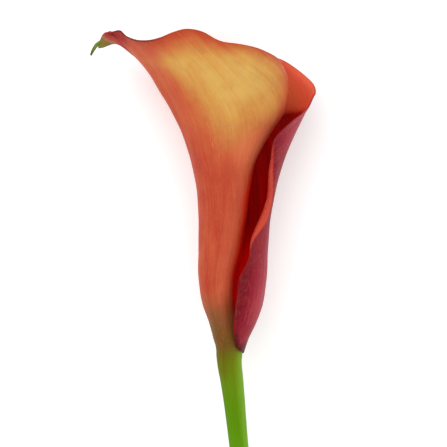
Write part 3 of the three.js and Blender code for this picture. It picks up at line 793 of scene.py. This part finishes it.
def spathe():
    """The rolled sheet, with the numbers that its two materials read."""
    across, share = sheet_grid()
    point, normal, angle, to_flap, to_inner = sheet_at(across, share)
    rim_height = point[-1:, :, 1]
    to_rim = (1 - share) * (rim_height - SLEEVE_BOTTOM)
    border = np.minimum(np.minimum(to_rim, to_flap), to_inner)
    outer, inner = sheet_skins(point, normal, angle, share, border)
    outer = joined_to_stem(outer, angle)
    faces, slots = sheet_faces(*across.shape)
    points = np.concatenate([outer.reshape(-1, 3), inner.reshape(-1, 3)])
    piece = new_object("spathe_sheet", points, faces, [petal_outside(), petal_inside()], slots)

    x, y = point[..., 0], point[..., 1]
    right = ramp(x, *RIGHT_PART)
    to_side = np.where(angle > FRONT, to_flap, to_inner)
    # Creased a little everywhere, and more in the patches
    creased = 0.12 + sum(part * spot(x, at_x, wide) * spot(y, at_y, tall)
                         for at_x, at_y, wide, tall, part in CREASED_PATCHES)
    outside = {**tube_values(x, y, angle, to_rim, right), **flap_values(x, y, angle, to_flap),
               **edge_values(x, angle, to_rim, to_side, right), **beak_values(x, y, angle),
               "foot": fade(y, *FOOT_HEIGHTS) * fade(angle, *FOOT_ANGLES),
               "inside_shade": inside_shade_at(y, angle), "creased": creased}
    inside = {**outside, **inside_values(x, y, to_rim, to_flap)}
    set_values(piece, **{name: np.stack([outside[name], inside[name]]) for name in outside})
    # There are more veins where the sheet widens towards the rim
    bend = (angle - MIDRIB) * (1 + 1.4 * share**4) / 360
    same = {**stalk_values(outer, NECK_X, 0.0), "veins": np.stack([bend, share, np.zeros_like(share)], -1)}
    set_values(piece, **{name: np.stack([numbers] * 2) for name, numbers in same.items()})
    return piece


def ring_faces(rings, sides):
    """Quads between neighbouring rings of points."""
    ring, k = np.meshgrid(np.arange(rings - 1), np.arange(sides), indexing="ij")
    a, b = (ring * sides + k).ravel(), (ring * sides + (k + 1) % sides).ravel()
    return np.stack([a, b, b + sides, a + sides], 1)


def tube(name, centres, radii, sides, material, end_cap=True):
    """Round body along a line of points. radii has one row for each point and one number for each side."""
    along = np.gradient(centres, axis=0)
    along /= length(along)[:, None]
    side, up = across_from(along)
    turn = 2 * np.pi * np.arange(sides) / sides - np.pi / 2
    spokes = np.cos(turn)[None, :, None] * side[:, None] + np.sin(turn)[None, :, None] * up[:, None]
    points = (centres[:, None] + radii[..., None] * spokes).reshape(-1, 3)
    faces = ring_faces(len(centres), sides).tolist()
    faces.append(list(range(sides))[::-1])
    if end_cap:
        faces.append(list(range(len(points) - sides, len(points))))
    return new_object(name, points, faces, [material]), points


def stem():
    """Round stem with low ribs along it."""
    rows = STEM_ROWS[::-1]
    heights = np.linspace(rows[-1, 0], rows[0, 0], STEM_STEPS)
    centres = line_of(rows, heights)
    turn = 2 * np.pi * np.arange(STEM_SIDES) / STEM_SIDES
    ribs = sum(depth * (np.cos(number * turn + start) - 1) for number, depth, start in STEM_RIBS)
    radii = follow(rows, 3, heights)[:, None] + ramp(heights, *STEM_RIB_START)[:, None] * ribs
    piece, points = tube("stem_stalk", centres, radii, STEM_SIDES, stem_skin(), end_cap=False)
    axis = np.repeat(centres, STEM_SIDES, axis=0)
    set_values(piece, **stalk_values(points, axis[:, 0], axis[:, 2]))
    return piece


def stem_end():
    """The cut face, a little dished."""
    (before, end), radius = line_of(STEM_ROWS[::-1], STEM_ROWS[-2:, 0]), STEM_ROWS[-1, 3]
    axis = (end - before) / length(end - before)
    side, up = across_from(axis)
    share = np.linspace(0, 1, CUT_RINGS + 1)[1:]
    turn = 2 * np.pi * np.arange(STEM_SIDES) / STEM_SIDES
    spokes = np.cos(turn)[:, None] * side + np.sin(turn)[:, None] * up
    dish = -CUT_DISH * (1 - share**2)
    points = end + (radius - CUT_INSET) * share[:, None, None] * spokes + dish[:, None, None] * axis
    points = np.concatenate([points.reshape(-1, 3), [end - CUT_DISH * axis]])
    faces = ring_faces(CUT_RINGS, STEM_SIDES)[:, ::-1].tolist()
    middle = len(points) - 1
    faces += [[middle, k, (k + 1) % STEM_SIDES] for k in range(STEM_SIDES)]
    piece = new_object("stem_cut_face", points, faces, [stem_cut()])
    set_values(piece, skin_ring=np.append(np.repeat(ramp(share, *CUT_SKIN), STEM_SIDES), 0))
    return piece


def spadix():
    """Finger of small round florets in crossing spirals."""
    foot, top = SPADIX_ROWS[0, 0], SPADIX_ROWS[-1, 0]
    heights = np.linspace(foot, top, SPADIX_STEPS)
    turn = FLORET_SPIRALS * np.arange(SPADIX_SIDES) / SPADIX_SIDES
    rise = (heights - foot)[:, None] / FLORET_PITCH
    left, right = np.cos(2 * np.pi * (turn + rise)), np.cos(2 * np.pi * (turn - rise))
    # Florets stand where two sets of spirals cross, and half way between the crossings
    floret = np.maximum(*(np.sqrt(np.clip((0.5 + s * left) * (0.5 + s * right), 0, 1)) for s in (0.5, -0.5)))
    rough = ramp(heights, foot, foot + SPADIX_FOOT) * ramp(heights, top, top - SPADIX_TOP)
    radii = follow(SPADIX_ROWS, 3, heights)[:, None] + rough[:, None] * (FLORET_HEIGHT * floret - FLORET_SINK)
    piece, _ = tube("spadix_finger", line_of(SPADIX_ROWS, heights), radii, SPADIX_SIDES, florets())
    set_values(piece, floret=floret)
    return piece


def spike():
    """The green point that hangs from the beak."""
    share = np.linspace(0, 1, SPIKE_STEPS)
    rows = np.column_stack([np.linspace(0, 1, len(SPIKE_ROWS)), SPIKE_ROWS])
    centres = np.stack([follow(rows, 1, share), follow(rows, 2, share), np.zeros(SPIKE_STEPS)], -1)
    turn = 2 * np.pi * np.arange(SPIKE_SIDES) / SPIKE_SIDES
    radii = follow(rows, 3, share)[:, None] * (1 + SPIKE_RIB_SHARE * np.cos(SPIKE_RIBS * turn + 1))
    piece, _ = tube("spathe_point", centres, radii, SPIKE_SIDES, green_point())
    set_values(piece, down=np.repeat(share, SPIKE_SIDES))
    return piece


# Places of the studio are in metres from the part's origin, and the camera's is in millimetres from the neck
WHITE = (1, 1, 1, 1)
FLOOR_DARKEST, FLOOR_LIGHTEST = (0.97, 0.97, 0.97, 1), (0.99, 0.99, 0.99, 1)
FLOOR_HALF, FLOOR_GLOW, FLOOR_ROUGHNESS, SKY_LIGHT = 1.5, 0.2, 0.8, 0.74
LAMP_AIM = np.array([0.004, 0.07, 0.02])
# Each lamp: name, place, width, power
LAMPS = (("key", (-0.22, 0.36, 1.03), 1.0, 4.7), ("fill", (0.5, -0.1, 0.9), 0.9, 0.8))
CAMERA_PLACE = np.array([-2.21, 37.3, 733.0])
CAMERA_LENS, CAMERA_SENSOR = 200.0, 36.0


def lay_floor():
    """Plain pale floor, which glows a little so that it shows nearly white."""
    look = Look("pale_floor", roughness=FLOOR_ROUGHNESS, glow=0.0)
    grain = look.noise(look.place(), scale=40.0)
    skin = look.finish(look.mix(grain, FLOOR_DARKEST, FLOOR_LIGHTEST), FLOOR_ROUGHNESS, (grain, 0.05, 0.0001))
    look.shader.inputs["Emission Color"].default_value = WHITE
    look.shader.inputs["Emission Strength"].default_value = FLOOR_GLOW
    mesh = bpy.data.meshes.new("floor")
    corners = [(FLOOR_HALF * x, FLOOR_HALF * y, 0) for x, y in ((-1, -1), (1, -1), (1, 1), (-1, 1))]
    mesh.from_pydata(corners, [], [(0, 1, 2, 3)])
    mesh.materials.append(skin)
    floor = bpy.data.objects.new("floor", mesh)
    bpy.context.scene.collection.objects.link(floor)


def hang_lights():
    """Even white light from all round, and two wide soft lamps above."""
    world = bpy.data.worlds.new("studio")
    world.use_nodes = True
    sky = world.node_tree.nodes["Background"]
    sky.inputs["Color"].default_value = WHITE
    sky.inputs["Strength"].default_value = SKY_LIGHT
    bpy.context.scene.world = world
    for name, place, width, power in LAMPS:
        light = bpy.data.lights.new(name, "AREA")
        light.shape, light.size, light.energy = "DISK", width, power
        lamp = bpy.data.objects.new(name, light)
        lamp.location = place
        back = np.array(place) - LAMP_AIM
        tilt, turn = math.acos(back[2] / length(back)), math.atan2(back[1], back[0]) + math.pi / 2
        lamp.rotation_euler = (tilt, 0, turn)
        bpy.context.scene.collection.objects.link(lamp)


def set_camera():
    """The camera straight above, looking down."""
    camera = bpy.data.cameras.new("camera")
    camera.lens, camera.sensor_width = CAMERA_LENS, CAMERA_SENSOR
    viewer = bpy.data.objects.new("camera", camera)
    viewer.location = (CAMERA_PLACE + SHIFT) * MM
    bpy.context.scene.collection.objects.link(viewer)
    bpy.context.scene.camera = viewer
    bpy.context.scene.view_settings.view_transform = "Standard"


for piece, node in (
    (spathe(), "spathe"), (spike(), "spathe"), (stem(), "stem"), (stem_end(), "stem"), (spadix(), "spadix"),
):
    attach(piece, "root")
    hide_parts(node)
lay_floor()
hang_lights()
set_camera()
